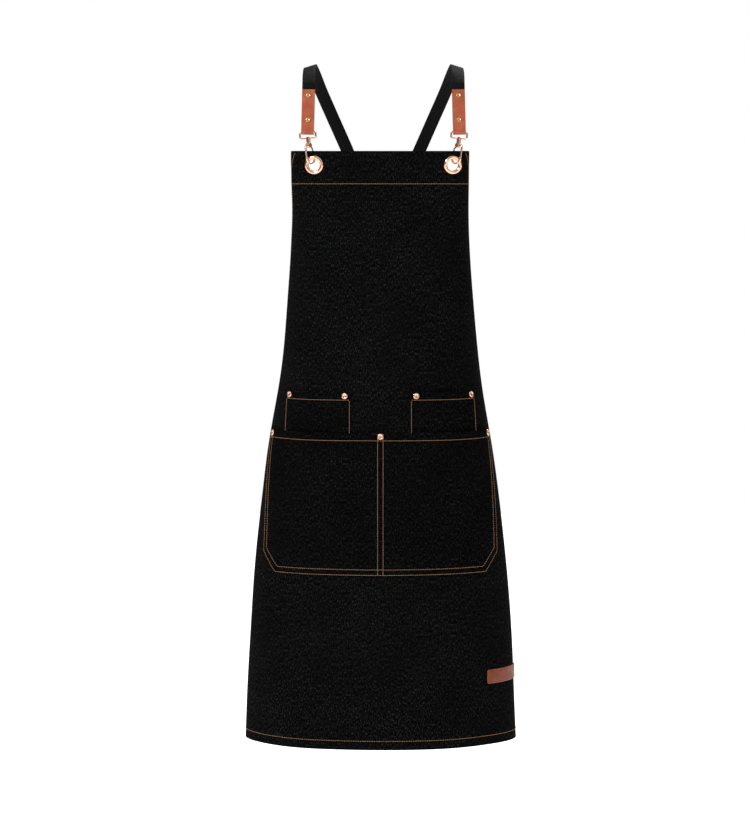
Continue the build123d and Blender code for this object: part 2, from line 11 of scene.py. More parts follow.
import bmesh
import bpy
import numpy as np
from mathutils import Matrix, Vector


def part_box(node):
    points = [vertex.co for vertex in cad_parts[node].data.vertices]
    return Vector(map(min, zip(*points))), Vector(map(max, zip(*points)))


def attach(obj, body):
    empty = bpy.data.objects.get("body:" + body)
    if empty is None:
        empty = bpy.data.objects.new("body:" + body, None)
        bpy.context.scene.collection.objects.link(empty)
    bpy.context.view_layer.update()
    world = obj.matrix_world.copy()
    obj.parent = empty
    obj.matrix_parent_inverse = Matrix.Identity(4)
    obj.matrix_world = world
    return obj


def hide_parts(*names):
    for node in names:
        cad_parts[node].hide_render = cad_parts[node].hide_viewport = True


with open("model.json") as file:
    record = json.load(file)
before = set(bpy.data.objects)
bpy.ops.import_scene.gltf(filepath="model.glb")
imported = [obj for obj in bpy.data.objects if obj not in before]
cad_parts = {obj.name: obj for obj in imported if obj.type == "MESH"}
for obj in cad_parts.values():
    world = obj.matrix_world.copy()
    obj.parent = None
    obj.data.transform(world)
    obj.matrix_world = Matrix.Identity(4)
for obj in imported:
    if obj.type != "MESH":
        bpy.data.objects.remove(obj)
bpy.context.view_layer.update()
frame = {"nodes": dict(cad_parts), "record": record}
joints = {j["name"]: j for j in frame["record"]["behaviour"]["joints"]}

# %% [markdown]
# The camera stands five metres away at chest height, with a long lens. A wide lens
# close by would taper the apron and bend its hem; a long one keeps the hem nearly level.

# %% camera
EYE = Vector((0.0, -5.0, -0.1815))
AIM = Vector((-0.008, 0.0, -0.5262))
VIEW_HEIGHT = 1.2585            # metres seen from top to bottom at the apron
SENSOR = 36.0

camera_data = bpy.data.cameras.new("studio_camera")
camera = bpy.data.objects.new("studio_camera", camera_data)
bpy.context.scene.collection.objects.link(camera)
camera.location = EYE
camera.rotation_euler = (AIM - EYE).to_track_quat("-Z", "Y").to_euler()
camera_data.sensor_width = SENSOR
camera_data.lens = SENSOR * (AIM - EYE).length / VIEW_HEIGHT
bpy.context.scene.camera = camera
bpy.context.scene.view_settings.view_transform = "Standard"
print("lens", round(camera_data.lens, 1), "mm")

# %% [markdown]
# Three soft boxes light the cloth: a key from the upper left, a weak fill from the
# right, and one from behind. Black cloth shows its shape only where the light comes
# mostly from one side, so the fill stays weak.

# %% soft boxes

def area_light(name, place, target, size, watts):
    """A soft box that looks at a point."""
    data = bpy.data.lights.new(name, "AREA")
    data.shape = "DISK"
    data.size = size
    data.energy = watts
    lamp = bpy.data.objects.new(name, data)
    bpy.context.scene.collection.objects.link(lamp)
    lamp.location = place
    lamp.rotation_euler = (Vector(target) - Vector(place)).to_track_quat("-Z", "Y").to_euler()


MIDDLE = (0, 0, -0.45)
area_light("key_softbox", (-1.9, -2.5, 1.5), MIDDLE, 1.0, 75)
area_light("fill_softbox", (2.4, -2.6, 0.2), MIDDLE, 1.4, 9)
area_light("rim_softbox", (0.6, 2.2, 1.4), MIDDLE, 1.2, 30)

print("soft boxes:", len(bpy.data.lights))

# %% [markdown]
# The sky is bright above and dark below. That gives polished metal a dark side, where
# an even white sky would wash it out. The camera itself sees plain white.

# %% sky
SKY_LOW = 0.16
SKY_FULL_AT = 0.75
SKY_STRENGTH = 0.8

world = bpy.data.worlds.new("studio_white")
bpy.context.scene.world = world
world.use_nodes = True
world_tree = world.node_tree
sky_way = world_tree.nodes.new("ShaderNodeTexCoord").outputs["Generated"]
sky_parts = world_tree.nodes.new("ShaderNodeSeparateXYZ")
world_tree.links.new(sky_way, sky_parts.inputs["Vector"])
sky_ramp = world_tree.nodes.new("ShaderNodeValToRGB")
world_tree.links.new(sky_parts.outputs["Z"], sky_ramp.inputs["Fac"])
sky_ramp.color_ramp.elements[0].color = (SKY_LOW, SKY_LOW, SKY_LOW, 1)
sky_ramp.color_ramp.elements[1].color = (1, 1, 1, 1)
sky_ramp.color_ramp.elements[1].position = SKY_FULL_AT
light_sky = world_tree.nodes["Background"]
light_sky.inputs["Strength"].default_value = SKY_STRENGTH
world_tree.links.new(sky_ramp.outputs["Color"], light_sky.inputs["Color"])
seen_sky = world_tree.nodes.new("ShaderNodeBackground")
seen_sky.inputs["Color"].default_value = (1, 1, 1, 1)
which_sky = world_tree.nodes.new("ShaderNodeMixShader")
ray = world_tree.nodes.new("ShaderNodeLightPath")
world_tree.links.new(ray.outputs["Is Camera Ray"], which_sky.inputs["Fac"])
world_tree.links.new(light_sky.outputs["Background"], which_sky.inputs[1])
world_tree.links.new(seen_sky.outputs["Background"], which_sky.inputs[2])
world_tree.links.new(which_sky.outputs["Shader"], world_tree.nodes["World Output"].inputs["Surface"])
print("sky nodes:", len(world_tree.nodes))

# %% [markdown]
# The floor is a wide white sheet under the apron, with nothing behind it, so that the
# apron can be looked at from every side. The white sky takes the place of a wall.

# %% floor
FLOOR = -1.35
FLOOR_SIZE = 14.0
bpy.ops.object.select_all(action="DESELECT")
bpy.ops.mesh.primitive_plane_add(size=FLOOR_SIZE, location=(0, 0, FLOOR))
paper = bpy.context.object
paper.name = "studio_floor"
bpy.ops.object.transform_apply(location=True)
print("floor", FLOOR_SIZE, "m square")


# %% [markdown]
# Each finish is a small node graph. The helper adds a node and sets its sockets, so
# a material reads as a short list of steps.

# %% material helpers
def new_finish(name):
    finish = bpy.data.materials.new(name)
    finish.use_nodes = True
    return finish, finish.node_tree, finish.node_tree.nodes["Principled BSDF"]


def add(tree, kind, **values):
    """Add a shader node; keys that are sockets are set or linked, others are attributes."""
    node = tree.nodes.new(kind)
    for key, value in values.items():
        name = key.replace("_", " ")
        if hasattr(node, key) and name not in node.inputs:
            setattr(node, key, value)
        elif isinstance(value, bpy.types.NodeSocket):
            tree.links.new(value, node.inputs[name])
        else:
            node.inputs[name].default_value = value
    return node


def ramp(tree, factor, *stops):
    node = tree.nodes.new("ShaderNodeValToRGB")
    tree.links.new(factor, node.inputs["Fac"])
    elements = node.color_ramp.elements
    while len(elements) < len(stops):
        elements.new(0.5)
    for element, (place, grey) in zip(elements, stops):
        element.position = place
        element.color = (*grey, 1) if isinstance(grey, tuple) else (grey, grey, grey, 1)
    return node.outputs["Color"]


def put(obj, finish):
    obj.data.materials.clear()
    obj.data.materials.append(finish)


paper_finish, _, paper_shader = new_finish("white_paper")
paper_shader.inputs["Base Color"].default_value = (0.95, 0.95, 0.95, 1)
paper_shader.inputs["Roughness"].default_value = 0.9
paper_shader.inputs["Emission Color"].default_value = (1, 1, 1, 1)
paper_shader.inputs["Emission Strength"].default_value = 0.8
put(paper, paper_finish)


# %% [markdown]
# Black denim: black warp over a pale weft that peeps through as fine flecks. A twill
# runs diagonally. The pattern reads the cloth's own UV map in metres, so it follows
# the cloth round the body, where object coordinates would smear at the sides.

# %% denim
def denim(name, dark, fleck):
    finish, tree, shader = new_finish(name)
    uv = tree.nodes.new("ShaderNodeUVMap").outputs["UV"]
    warp = add(tree, "ShaderNodeMapping", Vector=uv, Scale=(1000.0, 330.0, 1.0)).outputs["Vector"]
    yarn = add(tree, "ShaderNodeTexNoise", Vector=warp, Scale=0.75, Detail=3.0,
               Roughness=0.7).outputs["Fac"]
    cloud = add(tree, "ShaderNodeTexNoise", Vector=uv, Scale=14.0, Detail=4.0).outputs["Fac"]
    specks = ramp(tree, yarn, (0.52, 0.0), (0.68, 1.0))
    patches = ramp(tree, cloud, (0.3, 0.55), (0.7, 1.0))
    amount = add(tree, "ShaderNodeMix", data_type="RGBA", blend_type="MULTIPLY")
    amount.inputs["Factor"].default_value = 1.0
    tree.links.new(specks, amount.inputs[6])
    tree.links.new(patches, amount.inputs[7])
    colour = add(tree, "ShaderNodeMix", data_type="RGBA")
    tree.links.new(amount.outputs[2], colour.inputs["Factor"])
    colour.inputs[6].default_value = (*dark, 1)
    colour.inputs[7].default_value = (*fleck, 1)
    tree.links.new(colour.outputs[2], shader.inputs["Base Color"])
    turned = add(tree, "ShaderNodeMapping", Vector=uv, Rotation=(0, 0, math.radians(60)))
    twill = add(tree, "ShaderNodeTexWave", Vector=turned.outputs["Vector"], Scale=330.0,
                Distortion=1.2, Detail=2.0).outputs["Fac"]
    weave = add(tree, "ShaderNodeMix", data_type="FLOAT")
    weave.inputs["Factor"].default_value = 0.45
    tree.links.new(twill, weave.inputs[2])
    tree.links.new(yarn, weave.inputs[3])
    bump = add(tree, "ShaderNodeBump", Strength=0.3, Distance=0.0003)
    tree.links.new(weave.outputs[0], bump.inputs["Height"])
    tree.links.new(bump.outputs["Normal"], shader.inputs["Normal"])
    rough = ramp(tree, yarn, (0.3, 0.95), (0.8, 0.8))
    tree.links.new(rough, shader.inputs["Roughness"])
    shader.inputs["Specular IOR Level"].default_value = 0.01
    shader.inputs["Sheen Weight"].default_value = 0.001
    shader.inputs["Sheen Roughness"].default_value = 0.5
    return finish


body_denim = denim("black_denim", (0.0010, 0.0010, 0.0010), (0.026, 0.026, 0.026))
# The pocket cloth is the same denim made about a fifth darker: painted shade, for the pocket hangs
# lower, where less light falls from above.
pocket_denim_painted_shade = denim("black_denim_pocket_painted_shade", (0.0008, 0.0008, 0.0008), (0.020, 0.020, 0.020))
inside_denim = denim("black_denim_facing", (0.0030, 0.0030, 0.0033), (0.045, 0.045, 0.046))

# %% [markdown]
# Webbing is a narrow belt woven in ribs across its width. On a strap the ribs come
# from a wave along its UV map, whose second axis is the length in metres. The ring tabs
# have no such map, so their wave reads object coordinates.

# %% webbing, thread, leather and metals
def webbing(name, place, ribs_along, ribs_scale):
    finish, tree, shader = new_finish(name)
    source = tree.nodes.new(place[0]).outputs[place[1]]
    ribs = add(tree, "ShaderNodeTexWave", Vector=source, Scale=ribs_scale, Distortion=0.4,
               bands_direction=ribs_along).outputs["Fac"]
    grain = add(tree, "ShaderNodeTexNoise", Vector=source, Scale=900.0, Detail=3.0).outputs["Fac"]
    tree.links.new(ramp(tree, grain, (0.35, 0.0018), (0.75, 0.0075)), shader.inputs["Base Color"])
    bump = add(tree, "ShaderNodeBump", Strength=0.5, Distance=0.0003, Height=ribs)
    tree.links.new(bump.outputs["Normal"], shader.inputs["Normal"])
    shader.inputs["Roughness"].default_value = 0.8
    shader.inputs["Specular IOR Level"].default_value = 0.08
    return finish


web_finish = webbing("black_webbing", ("ShaderNodeUVMap", "UV"), "Y", 260.0)
ring_tab_finish = webbing("black_webbing_tab", ("ShaderNodeTexCoord", "Object"), "Z", 260.0)

thread_finish, tree, shader = new_finish("copper_thread")
place = tree.nodes.new("ShaderNodeTexCoord").outputs["Object"]
strands = add(tree, "ShaderNodeTexNoise", Vector=place, Scale=1500.0, Detail=2.0).outputs["Fac"]
tree.links.new(ramp(tree, strands, (0.3, (0.15, 0.075, 0.034)), (0.7, (0.33, 0.17, 0.08))),
               shader.inputs["Base Color"])
shader.inputs["Roughness"].default_value = 0.6


def leather(name, low, high):
    finish, tree, shader = new_finish(name)
    place = tree.nodes.new("ShaderNodeTexCoord").outputs["Object"]
    cells = add(tree, "ShaderNodeTexVoronoi", Vector=place, Scale=1400.0).outputs["Distance"]
    stain = add(tree, "ShaderNodeTexNoise", Vector=place, Scale=90.0, Detail=5.0).outputs["Fac"]
    tree.links.new(ramp(tree, stain, (0.3, low), (0.7, high)), shader.inputs["Base Color"])
    shader.inputs["Specular IOR Level"].default_value = 0.2
    bump = add(tree, "ShaderNodeBump", Strength=0.3, Distance=0.0002, Height=cells)
    tree.links.new(bump.outputs["Normal"], shader.inputs["Normal"])
    tree.links.new(ramp(tree, stain, (0.2, 0.5), (0.8, 0.38)), shader.inputs["Roughness"])
    return finish


def metal(name, low, high, rough):
    finish, tree, shader = new_finish(name)
    place = tree.nodes.new("ShaderNodeTexCoord").outputs["Object"]
    wear = add(tree, "ShaderNodeTexNoise", Vector=place, Scale=260.0, Detail=4.0).outputs["Fac"]
    tree.links.new(ramp(tree, wear, (0.3, low), (0.7, high)), shader.inputs["Base Color"])
    tree.links.new(ramp(tree, wear, (0.3, rough), (0.8, rough + 0.1)), shader.inputs["Roughness"])
    bump = add(tree, "ShaderNodeBump", Strength=0.05, Distance=0.0001, Height=wear)
    tree.links.new(bump.outputs["Normal"], shader.inputs["Normal"])
    shader.inputs["Metallic"].default_value = 1.0
    return finish


tan_leather = leather("tan_leather", (0.27, 0.058, 0.026), (0.38, 0.092, 0.043))
# The label leather is the tan leather at under half its brightness: painted shade, for the label sits on
# the right flank, turned away from the key light.
label_leather_painted_shade = leather("label_leather_painted_shade", (0.13, 0.028, 0.011), (0.20, 0.046, 0.019))
rose_gold = metal("rose_gold_plate", (0.72, 0.40, 0.25), (0.86, 0.52, 0.36), 0.14)
old_brass = metal("antique_brass", (0.34, 0.24, 0.09), (0.62, 0.47, 0.2), 0.24)
steel = metal("spring_wire", (0.45, 0.45, 0.46), (0.6, 0.6, 0.62), 0.3)
print("finishes:", len(bpy.data.materials))

# %% [markdown]
# The worn surface: at each height the cloth follows a rounded section, flat at the
# bib and elliptical at the hem. The top and the hem are read from the frame; the other
# heights, half widths and depths repeat those of the solid panel. Each point of the
# cloth has a flat distance from the centre line.

# %% worn surface
panel_low, panel_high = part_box("apron_panel")
TOP = panel_high[2]
HEM = panel_low[2]
half_width = [(TOP, .131), (-.226, .1313), (-.324, .1365), (-.459, .150),
              (-.594, .1725), (-.729, .1875), (-.864, .198), (HEM, .2035)]
section_depth = [(TOP, .030), (-.226, .088), (-.504, .115), (HEM, .135)]
front_y = [(TOP, -.112), (-.226, -.1125), (-.504, -.115), (HEM, -.135)]
squareness = [(TOP, 4.0), (-.226, 3.0), (-.504, 2.2), (HEM, 2.0)]
flat_half = [(TOP, .138), (-.226, .195), (-.330, .241), (-.430, .266),
             (-.504, .276), (-.750, .306), (HEM, .337)]


def at_height(stations, z):
    """Smooth value at a height, through the (height, value) pairs."""
    if z >= stations[0][0]:
        return stations[0][1]
    if z <= stations[-1][0]:
        return stations[-1][1]
    k = next(i for i in range(len(stations) - 1) if stations[i + 1][0] <= z)
    (z0, v0), (z1, v1) = stations[k], stations[k + 1]

    def slope(i):
        low, high = max(i - 1, 0), min(i + 1, len(stations) - 1)
        return (stations[high][1] - stations[low][1]) / (stations[high][0] - stations[low][0])

    t, rise = (z - z0) / (z1 - z0), z1 - z0
    return (v0 * (2 * t**3 - 3 * t**2 + 1) + rise * slope(k) * (t**3 - 2 * t**2 + t)
            + v1 * (3 * t**2 - 2 * t**3) + rise * slope(k + 1) * (t**3 - t**2))


def section(z):
    """Flat distance, x and y along the right half of the cloth at one height."""
    a, b = at_height(half_width, z), at_height(section_depth, z)
    power = 2 / at_height(squareness, z)
    t = np.radians(np.concatenate([np.linspace(0, 2, 60)**2 / 2, np.linspace(2.1, 140, 700)]))
    x = a * np.sin(t)**power
    y = at_height(front_y, z) + b - b * np.sign(np.cos(t)) * np.abs(np.cos(t))**power
    flat = np.concatenate([[0], np.cumsum(np.hypot(np.diff(x), np.diff(y)))])
    return flat, x, y


def ripple(flats, z):
    """Soft hang: shallow waves that grow down the skirt, over a finer one everywhere."""
    grow = max((-.50 - z) / .5, 0.0)**1.5
    return .0016 * grow * np.sin(flats * 31 + 1.1 + 2.0 * z) + .0005 * np.sin(flats * 52 + z * 23)


def on_cloth(flats, z, lifts=0.0):
    """Points of the cloth at one height, each lifted square to the section."""
    flats = np.atleast_1d(np.asarray(flats, float))
    flat, x, y = section(z)
    near = np.abs(flats)
    side = np.where(flats < 0, -1.0, 1.0)
    px, py = np.interp(near, flat, x), np.interp(near, flat, y)
    step = .003
    dx = np.interp(near + step, flat, x) - np.interp(np.abs(near - step), flat, x) \
        * np.where(near < step, -1, 1)
    dy = np.interp(near + step, flat, y) - np.interp(np.abs(near - step), flat, y)
    run = np.hypot(dx, dy)
    lifts = lifts + ripple(flats, z)
    return np.stack([side * (px + lifts * dy / run), py - lifts * dx / run,
                     np.full(len(flats), z)], axis=1)


# %% [markdown]
# A sheet is a grid of faces on that surface, then Solidify gives it its thickness on
# the inside. Building the grid in code keeps rows and columns along the threads, so
# the UV map is the flat cloth itself.

# %% sheet builder
CLOTH = .0011


def select_only(obj):
    bpy.ops.object.select_all(action="DESELECT")
    obj.select_set(True)
    bpy.context.view_layer.objects.active = obj


def grid_mesh(name, rows, uvs, thickness, finish, skip=None):
    """rows: arrays of points from the top down; the outside faces away from the body."""
    count, width = len(rows), len(rows[0])
    mesh = bpy.data.meshes.new(name)
    points = np.concatenate(rows)
    faces = []
    for r in range(count - 1):
        for c in range(width - 1):
            corner = r * width + c
            face = (corner, corner + width, corner + width + 1, corner + 1)
            if skip is None or not any(skip[i] for i in face):
                faces.append(face)
    mesh.from_pydata(points.tolist(), [], faces)
    flat_uv = np.concatenate(uvs)
    layer = mesh.uv_layers.new(name="flat_cloth")
    for loop in mesh.loops:
        layer.data[loop.index].uv = flat_uv[loop.vertex_index]
    obj = bpy.data.objects.new(name, mesh)
    bpy.context.scene.collection.objects.link(obj)
    editing = bmesh.new()
    editing.from_mesh(mesh)
    bmesh.ops.delete(editing, geom=[v for v in editing.verts if not v.link_faces], context="VERTS")
    editing.to_mesh(mesh)
    editing.free()
    select_only(obj)
    solid = obj.modifiers.new("thickness", "SOLIDIFY")
    solid.thickness = thickness
    solid.offset = -1
    bpy.ops.object.modifier_apply(modifier="thickness")
    bpy.ops.object.shade_smooth_by_angle(angle=math.radians(50))
    put(obj, finish)
    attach(obj, "root")
    return obj


def sheet(name, edges, levels, lift, thickness, finish, columns, skip_near=()):
    rows, uvs = [], []
    for z in levels:
        left, right = edges(z)
        flats = np.linspace(left, right, columns)
        rows.append(on_cloth(flats, z, lift(flats, z)))
        uvs.append(np.stack([flats, np.full(columns, z)], axis=1))
    skip = None
    if len(skip_near):
        points = np.concatenate(rows)
        skip = np.zeros(len(points), bool)
        for centre, radius in skip_near:
            skip |= np.linalg.norm(points - np.array(centre), axis=1) < radius
    return grid_mesh(name, rows, uvs, thickness, finish, skip)


def area_of(edges, top, bottom):
    widths = [edges(z)[1] - edges(z)[0] for z in np.linspace(top, bottom, 200)]
    return float(np.mean(widths)) * (top - bottom)


# %% [markdown]
# The panel is cut as one piece, wide at the skirt and narrow at the bib. Its two
# eyelet holes are opened by leaving out the faces under each flange.

# %% panel, facings and hems
GAP = .0002


def centre_of(node):
    low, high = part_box(node)
    return [(low[i] + high[i]) / 2 for i in range(3)]


EYELET_HOLE = .0100
holes = [(centre_of(f"{word}_eyelet_front"), EYELET_HOLE) for word in ("left", "right")]


def whole(z):
    reach = at_height(flat_half, z)
    return -reach, reach


BAND = .050
SKIRT_HEM = .0145
band_levels = np.linspace(TOP, TOP - BAND, 24)
skirt_levels = np.linspace(TOP - BAND, HEM, 190)[1:]
panel = sheet("denim_panel", whole, np.concatenate([band_levels, skirt_levels]),
              lambda f, z: 0 * f, CLOTH, body_denim, 150, holes)
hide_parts("apron_panel")
area_of(whole, TOP, HEM)


EDGE_INSET = .0006
FACING = .0009
SIDE_HEM = .015


def inset(z):
    reach = at_height(flat_half, z) - EDGE_INSET
    return -reach, reach


def strip(name, node, edges, top, bottom, rows, columns, skip=()):
    """A folded layer just behind the panel, in place of one CAD node."""
    obj = sheet(name, edges, np.linspace(top, bottom, rows), lambda f, z: 0 * f - CLOTH - GAP,
                FACING, inside_denim, columns, skip)
    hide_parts(node)
    area_of(edges, top, bottom)
    return obj


strip("bib_facing_cloth", "bib_facing", inset, TOP - EDGE_INSET, TOP - BAND, 24, 150,
      holes)
strip("bottom_hem_cloth", "bottom_hem_facing", inset, HEM + SKIRT_HEM, HEM + EDGE_INSET, 5, 120)
for side, word in ((-1, "left"), (1, "right")):
    def side_edges(z, side=side):
        reach = at_height(flat_half, z) - EDGE_INSET
        return tuple(sorted((side * reach, side * (reach - SIDE_HEM))))
    strip(f"{word}_side_hem_cloth", f"{word}_side_hem", side_edges, TOP - BAND - .001,
          HEM + SKIRT_HEM + .001, 150, 6)
print("panel faces", len(panel.data.polygons))

# %% [markdown]
# A pocket is a second layer, sewn flat at its edges and standing off between them. Its
# mouth has a folded hem, so a thin band along the top stands a little prouder.

# %% pockets
POCKET_TOP, POCKET_TALL, POCKET_HALF, POCKET_CORNER = -.5384, .211, .200, .030
UPPER_TOP, UPPER_TALL, UPPER_INNER, UPPER_WIDE = -.4791, .093, .044, .112
POCKET_CLOTH = .0010
MOUTH = .012


def mouth_fold(z, top):
    """The folded hem of a pocket's mouth stands a little prouder than the rest."""
    return .0006 * float(np.clip((MOUTH - (top - z)) / .0012, 0, 1))


def pocket_lift(f, z):
    across = np.clip((np.abs(f) - .0055) / (POCKET_HALF - .0190), 0, 1)
    down = np.clip((POCKET_TOP - z) / (POCKET_TALL - .0135), 0, 1)
    swell = .0042 * np.sin(np.pi * across)**2 * math.cos(math.pi / 2 * down)**2
    return GAP + POCKET_CLOTH + mouth_fold(z, POCKET_TOP) + swell


def upper_lift(f, z):
    across = np.clip((np.abs(f) - UPPER_INNER - .0135) / (UPPER_WIDE - .027), 0, 1)
    down = np.clip((UPPER_TOP - z) / (UPPER_TOP - POCKET_TOP), 0, 1)
    swell = .0028 * np.sin(np.pi * across)**2 * math.cos(math.pi / 2 * down)**2
    return GAP + POCKET_CLOTH + mouth_fold(z, UPPER_TOP) + swell


def pocket_edges(z):
    reach = POCKET_HALF - max(POCKET_TOP - POCKET_TALL + POCKET_CORNER - z, 0.0)
    return -reach, reach


def mouth_levels(top, bottom, rows):
    fold = [top, top - MOUTH + .0012, top - MOUTH]
    return np.concatenate([fold, np.linspace(top - MOUTH - .002, bottom, rows)])


pocket_levels = mouth_levels(POCKET_TOP, POCKET_TOP - POCKET_TALL, 60)
big_pocket = sheet("front_pocket_cloth", pocket_edges, pocket_levels, pocket_lift, POCKET_CLOTH,
                   pocket_denim_painted_shade, 121)
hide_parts("front_pocket")
upper_levels = mouth_levels(UPPER_TOP, UPPER_TOP - UPPER_TALL, 30)
for side, word in ((-1, "left"), (1, "right")):
    ends = tuple(sorted((side * UPPER_INNER, side * (UPPER_INNER + UPPER_WIDE))))
    small = sheet(f"{word}_upper_pocket_cloth", lambda z: ends, upper_levels, upper_lift,
                  POCKET_CLOTH, pocket_denim_painted_shade, 40)
    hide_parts(f"{word}_upper_pocket")
print("pockets:", len(pocket_levels), "and", len(upper_levels), "rows")

# %% [markdown]
# The label is a strip of leather with rounded corners and a plain pressed border. The
# border is real relief: the sheet dips a third of a millimetre along one line.

# %% hem label
LABEL_TOP, LABEL_TALL, LABEL_START, LABEL_WIDE = -.893, .021, .170, .095


def label_lift(f, z):
    from_end = np.minimum(f - LABEL_START, LABEL_START + LABEL_WIDE - f)
    edge = np.minimum(from_end, min(LABEL_TOP - z, z - LABEL_TOP + LABEL_TALL))
    groove = np.exp(-((edge - .0026) / .0005)**2)
    return .0016 - .00035 * groove - .0006 * np.exp(-edge / .0005)


def label_edges(z):
    depth = min(LABEL_TOP - z, z - LABEL_TOP + LABEL_TALL)
    round_off = .003 - math.sqrt(max(.003**2 - (.003 - min(depth, .003))**2, 0))
    return LABEL_START + round_off, LABEL_START + LABEL_WIDE - round_off


label_levels = np.linspace(LABEL_TOP, LABEL_TOP - LABEL_TALL, 60)
label = sheet("hem_label_leather", label_edges, label_levels, label_lift, .0014, label_leather_painted_shade, 200)
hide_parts("hem_label")
print("label", LABEL_WIDE, "by", LABEL_TALL, "m")

# %% [markdown]
# Stitches are short threads that rise out of the cloth and dive back. One small shape
# of four rings is laid along each seam; a texture would vanish at the seam's edge.

# %% stitches
STITCH = .0026
PITCH = .0034
THREAD_R = .00036


THREAD_RISE = (-.0002, .0003, .0003, -.0002)
THREAD_SIDES = 6
STITCH_FACES = THREAD_SIDES * (len(THREAD_RISE) - 1) + 2


def thread_ring(centre, across, out):
    """Points round the thread at one place."""
    ring = []
    for turn in range(THREAD_SIDES):
        angle = turn * math.pi / 3
        ring.append(centre + THREAD_R * (math.cos(angle) * across + math.sin(angle) * out))
    return ring


def stitch_faces(start):
    """Faces of one closed stitch whose points begin at this number."""
    faces = []
    for ring in range(len(THREAD_RISE) - 1):
        for turn in range(THREAD_SIDES):
            a = start + ring * THREAD_SIDES + turn
            b = start + ring * THREAD_SIDES + (turn + 1) % THREAD_SIDES
            faces.append((a, a + THREAD_SIDES, b + THREAD_SIDES, b))
    last = start + THREAD_SIDES * (len(THREAD_RISE) - 1)
    faces.append(tuple(start + i for i in range(THREAD_SIDES)))
    faces.append(tuple(last + i for i in reversed(range(THREAD_SIDES))))
    return faces


def stitch_points(here, there, lift, marks):
    """Rings of one stitch, one at each mark; a mark is a share of the straight run."""
    centres = []
    for t, rise in zip(marks, THREAD_RISE):
        f, z = here[0] + (there[0] - here[0]) * t, here[1] + (there[1] - here[1]) * t
        height = lift(f, z) if callable(lift) else lift
        centres.append(on_cloth(f, z, float(np.max(height)) + rise)[0])
    out = on_cloth(f, z, .01)[0] - on_cloth(f, z, 0)[0]
    out /= np.linalg.norm(out)
    across = np.cross(centres[-1] - centres[0], out)
    across /= np.linalg.norm(across)
    return [point for centre in centres for point in thread_ring(centre, across, out)]


def seam(name, runs):
    """runs: lists of (flat, z, lift) corners. Lays stitches along each straight run."""
    verts, faces = [], []
    for run in runs:
        for here, there in zip(run, run[1:]):
            length = math.hypot(there[0] - here[0], there[1] - here[1])
            count = max(int(length / PITCH), 1)
            for k in range(count):
                ends = [(k + .12) / count, (k + .12 + STITCH / PITCH) / count]
                marks = np.linspace(ends[0], ends[1], len(THREAD_RISE))
                faces += stitch_faces(len(verts))
                verts += stitch_points(here, there, here[2], marks)
    mesh = bpy.data.meshes.new(name)
    mesh.from_pydata([v.tolist() for v in verts], [], faces)
    mesh.polygons.foreach_set("use_smooth", [True] * len(faces))
    obj = bpy.data.objects.new(name, mesh)
    bpy.context.scene.collection.objects.link(obj)
    put(obj, thread_finish)
    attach(obj, "root")
    return len(faces) // STITCH_FACES


# %% [markdown]
# One line of stitches holds the band, the bottom hem and each side hem. The large
# pocket has two lines round it and two down its middle, and each mouth has one more.

# %% seams
half_top = at_height(flat_half, TOP - BAND)
band_line = TOP - .0479
done = seam("band_stitches", [[(-half_top + .002, band_line, 0.0), (half_top - .002, band_line, 0.0)]])
hem_half = at_height(flat_half, HEM + .0133) - .002
done += seam("hem_stitches", [[(-hem_half, HEM + .0133, 0.0), (hem_half, HEM + .0133, 0.0)]])
for side, word in ((-1, "left"), (1, "right")):
    levels = np.linspace(TOP - .003, HEM + .003, 60)
    line = [(side * (at_height(flat_half, z) - .0135), z, 0.0) for z in levels]
    done += seam(f"{word}_side_stitches", [line])


def on_pocket(f, z):
    return pocket_lift(np.array([f]), z)


def on_upper(f, z):
    return upper_lift(np.array([f]), z)


def pocket_line(margin):
    """Down one side, across the cut corner, along the bottom and up again."""
    low, reach = POCKET_TOP - POCKET_TALL + margin, POCKET_HALF - margin
    corner = POCKET_CORNER - margin * .414
    right = [(reach, POCKET_TOP - .001), (reach, low + corner), (reach - corner, low)]
    points = [(-f, z) for f, z in right] + right[::-1]
    return [(f, z, on_pocket) for f, z in points]


runs = [pocket_line(.0025), pocket_line(.0105)]
seam_top, seam_foot = POCKET_TOP - .001, POCKET_TOP - POCKET_TALL + .003
runs += [[(s * .004, seam_top, on_pocket), (s * .004, seam_foot, on_pocket)] for s in (-1, 1)]
mouth_end, mouth_line = POCKET_HALF - .003, POCKET_TOP - MOUTH + .001
runs += [[(-mouth_end, mouth_line, on_pocket), (mouth_end, mouth_line, on_pocket)]]
done += seam("front_pocket_stitches", runs)
for side, word in ((-1, "left"), (1, "right")):
    inner, outer = side * (UPPER_INNER + .0015), side * (UPPER_INNER + UPPER_WIDE - .0015)
    runs = [[(f, UPPER_TOP - MOUTH, on_upper), (f, POCKET_TOP - .004, on_upper)] for f in (inner, outer)]
    runs += [[(inner, UPPER_TOP - MOUTH + .001, on_upper), (outer, UPPER_TOP - MOUTH + .001, on_upper)]]
    done += seam(f"{word}_upper_pocket_stitches", runs)
print("stitches", done)

# %% [markdown]
# Each strap is one band of webbing. A path of a few places carries a flat cross
# section with bevelled edges; the band turns to lie on the shoulder and the back.

# %% straps
WEB_WIDE, WEB_THICK = .019, .0016
SHIFT = .0046
BAR_R, BAR_CLEAR = .0013, .0001
TAB_TILT = math.radians(14.5)
TAB_SPLAY = .02
TAB_LENGTH = .064
WEB_START = .012                # the webbing begins this far above the loop's bar
SLIDER_PLACE = .070
STRAIGHT_RUN = .150
TAIL_RUN = .120
CROSSING = (.119, -.250)        # y and z where the straps cross
CROSS_LIFT = .0015
STEPS = 12


def unit(v):
    return v / np.linalg.norm(v)


